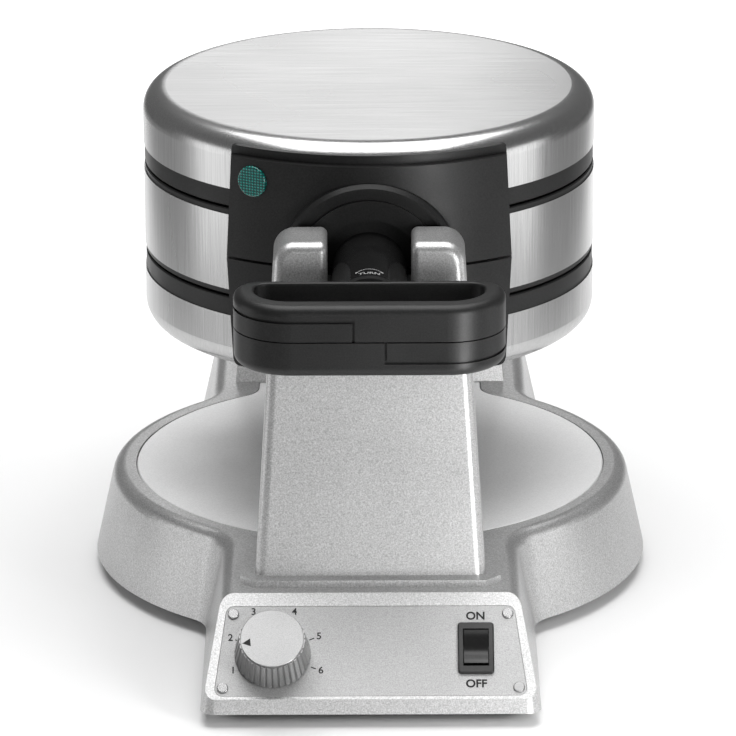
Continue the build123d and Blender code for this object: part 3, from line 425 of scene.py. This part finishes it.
for digit, (u, v) in NUMBER_SPOTS.items():
    lettering(f"number_{digit}", digit, NUMBER_SIZE, face_matrix(u * MM, v * MM, INK_LIFT),
              weight=THIN_STROKE)
    if digit in TICKED_NUMBERS:
        add_tick(digit, u * MM, v * MM)

for words, v in (("ON", 15.9), ("OFF", -15.4)):
    lettering(f"word_{words.lower()}", words, WORD_SIZE,
              face_matrix(SWITCH_MIDDLE, v * MM, INK_LIFT), weight=BOLD_STROKE)

pointer = face_matrix(KNOB_SPOT[0] - POINTER_OUT, KNOB_SPOT[1] - POINTER_DOWN,
                      KNOB_TOP + INK_LIFT / 2)
flat_shape("knob_pointer", [(-2.0 * MM, -0.6 * MM), (1.5 * MM, -1.9 * MM), (1.2 * MM, 1.7 * MM)],
           pointer, body="knob")


# Pale mark on the polished neck: the word TURN under a curved arrow
def wrap_on_neck(mesh):
    """Bends a flat mark round the neck, which runs from front to back."""
    for corner in mesh.vertices:
        turn = corner.co.x / NECK_RADIUS
        reach = NECK_RADIUS + corner.co.z + INK_LIFT
        corner.co = (reach * math.sin(turn), MARK_Y + corner.co.y, AXIS_Z + reach * math.cos(turn))


def arrow_outline():
    """Curved arrow with a head at each end, as a strip of an arc."""

    def spot(angle, radius):
        return (radius * math.sin(angle), ARROW_MIDDLE + radius * math.cos(angle))

    def head(side):
        base = side * ARROW_SWING
        return [spot(base, ARROW_RADIUS + ARROW_HEAD_HALF_WIDTH),
                spot(base + side * ARROW_HEAD_SWING, ARROW_RADIUS),
                spot(base, ARROW_RADIUS - ARROW_HEAD_HALF_WIDTH)]

    angles = [ARROW_SWING * (2 * step / ARROW_STEPS - 1) for step in range(ARROW_STEPS + 1)]
    outer = [spot(angle, ARROW_RADIUS + ARROW_HALF_WIDTH) for angle in angles]
    inner = [spot(angle, ARROW_RADIUS - ARROW_HALF_WIDTH) for angle in reversed(angles)]
    return outer + head(1) + inner + list(reversed(head(-1)))


turn_word = lettering("turn_word", "TURN", TURN_SIZE, Matrix.Identity(4), "pale_ink", "upper_lid",
                      THIN_STROKE)
wrap_on_neck(turn_word.data)
turn_arrow = flat_shape("turn_arrow", arrow_outline(), Matrix.Identity(4), "pale_ink", "upper_lid")
wrap_on_neck(turn_arrow.data)


# Camera, floor and light
def make_camera():
    camera = bpy.data.cameras.new("camera")
    camera.sensor_width = SENSOR_WIDTH
    camera.lens = FOCAL_PIXELS / PICTURE_WIDTH * SENSOR_WIDTH
    camera.clip_end = 20.0
    holder = bpy.data.objects.new("camera", camera)
    bpy.context.scene.collection.objects.link(holder)
    tip = Matrix.Rotation(CAMERA_YAW, 4, "Z") @ Matrix.Rotation(math.pi / 2 - CAMERA_PITCH, 4, "X")
    holder.matrix_world = (
        Matrix.Translation(CAMERA_PLACE) @ tip @ Matrix.Rotation(CAMERA_ROLL, 4, "Z")
    )
    bpy.context.scene.camera = holder


def make_stage():
    """A pale floor that reads as plain white to the camera and still takes a soft shadow."""
    bm = bmesh.new()
    bmesh.ops.create_grid(bm, x_segments=1, y_segments=1, size=FLOOR_HALF)
    mesh = bpy.data.meshes.new("floor")
    bm.to_mesh(mesh)
    bm.free()
    floor = bpy.data.objects.new("floor", mesh)
    bpy.context.scene.collection.objects.link(floor)
    floor.data.materials.append(make_floor_white())


def soft_step(tree, **ends):
    """Range that leaves and reaches its ends gently."""
    made = node(tree, "ShaderNodeMapRange", interpolation_type="SMOOTHSTEP")
    return set_inputs(made, **ends)


def make_floor_white():
    """White where the picture shows it, and darker outside, like cards laid round the set."""
    material, tree, shader = new_material("floor_white")
    place = node(tree, "ShaderNodeTexCoord")
    split = node(tree, "ShaderNodeSeparateXYZ")
    across = node(tree, "ShaderNodeMath", operation="ABSOLUTE")
    aside = soft_step(tree, From_Min=0.20, From_Max=0.60, To_Min=1.0, To_Max=0.0)
    before = soft_step(tree, From_Min=-0.75, From_Max=-0.22, To_Min=0.0, To_Max=1.0)
    behind = soft_step(tree, From_Min=0.10, From_Max=0.60, To_Min=0.0, To_Max=0.60)
    white = node(tree, "ShaderNodeMath", operation="MULTIPLY")
    glow = node(tree, "ShaderNodeMath", operation="MULTIPLY")
    link = tree.links.new
    link(place.outputs["Object"], split.inputs[0])
    link(split.outputs["X"], across.inputs[0])
    link(across.outputs[0], aside.inputs["Value"])
    link(split.outputs["Y"], before.inputs["Value"])
    link(split.outputs["Y"], behind.inputs["Value"])
    link(aside.outputs["Result"], white.inputs[0])
    link(before.outputs["Result"], white.inputs[1])
    link(white.outputs[0], glow.inputs[0])
    link(behind.outputs["Result"], glow.inputs[1])
    link(ramp_between(tree, white.outputs[0], grey(FLOOR_DARK), grey(FLOOR_PALE)),
         shader.inputs["Base Color"])
    link(glow.outputs[0], shader.inputs["Emission Strength"])
    set_inputs(shader, Roughness=0.9, Emission_Color=grey(1.0))
    return material


def area_light(name, place, target, width, power, height):
    """Rectangular light that faces its target."""
    light = bpy.data.lights.new(name, "AREA")
    light.shape = "RECTANGLE"
    light.size = width
    light.size_y = height
    light.energy = power
    holder = bpy.data.objects.new(name, light)
    bpy.context.scene.collection.objects.link(holder)
    holder.location = place
    holder.rotation_mode = "QUATERNION"
    holder.rotation_quaternion = (Vector(target) - Vector(place)).to_track_quat("-Z", "Y")


def make_light():
    """A dim surround, a wide box above, boxes behind and in front, and three strips nearby."""
    world = bpy.data.worlds.new("studio")
    world.use_nodes = True
    back = world.node_tree.nodes["Background"]
    back.inputs["Color"].default_value = grey(1.0)
    back.inputs["Strength"].default_value = 0.16
    bpy.context.scene.world = world
    area_light("back_box", (-0.06, 1.9, 0.85), (0.0, 0.0, 0.2), 0.46, 1.5, 0.8)
    area_light("front_box", (0.15, -2.7, 0.25), (0.0, 0.0, 0.12), 1.1, 4.6, 0.9)
    area_light("left_strip", (-0.60, -0.12, 0.14), (0.0, 0.0, 0.08), 0.30, 0.42, 0.30)
    area_light("right_strip", (0.60, -0.16, 0.14), (0.0, 0.0, 0.08), 0.30, 0.44, 0.30)
    area_light("near_strip", (0.19, -0.42, 0.13), (0.03, -0.15, 0.10), 0.06, 0.85, 0.26)
    area_light("top_box", (0.0, 0.1, 1.7), (0.0, 0.0, 0.0), 1.6, 34.0, 1.6)


make_camera()
make_stage()
make_light()
bpy.context.scene.view_settings.view_transform = "Standard"
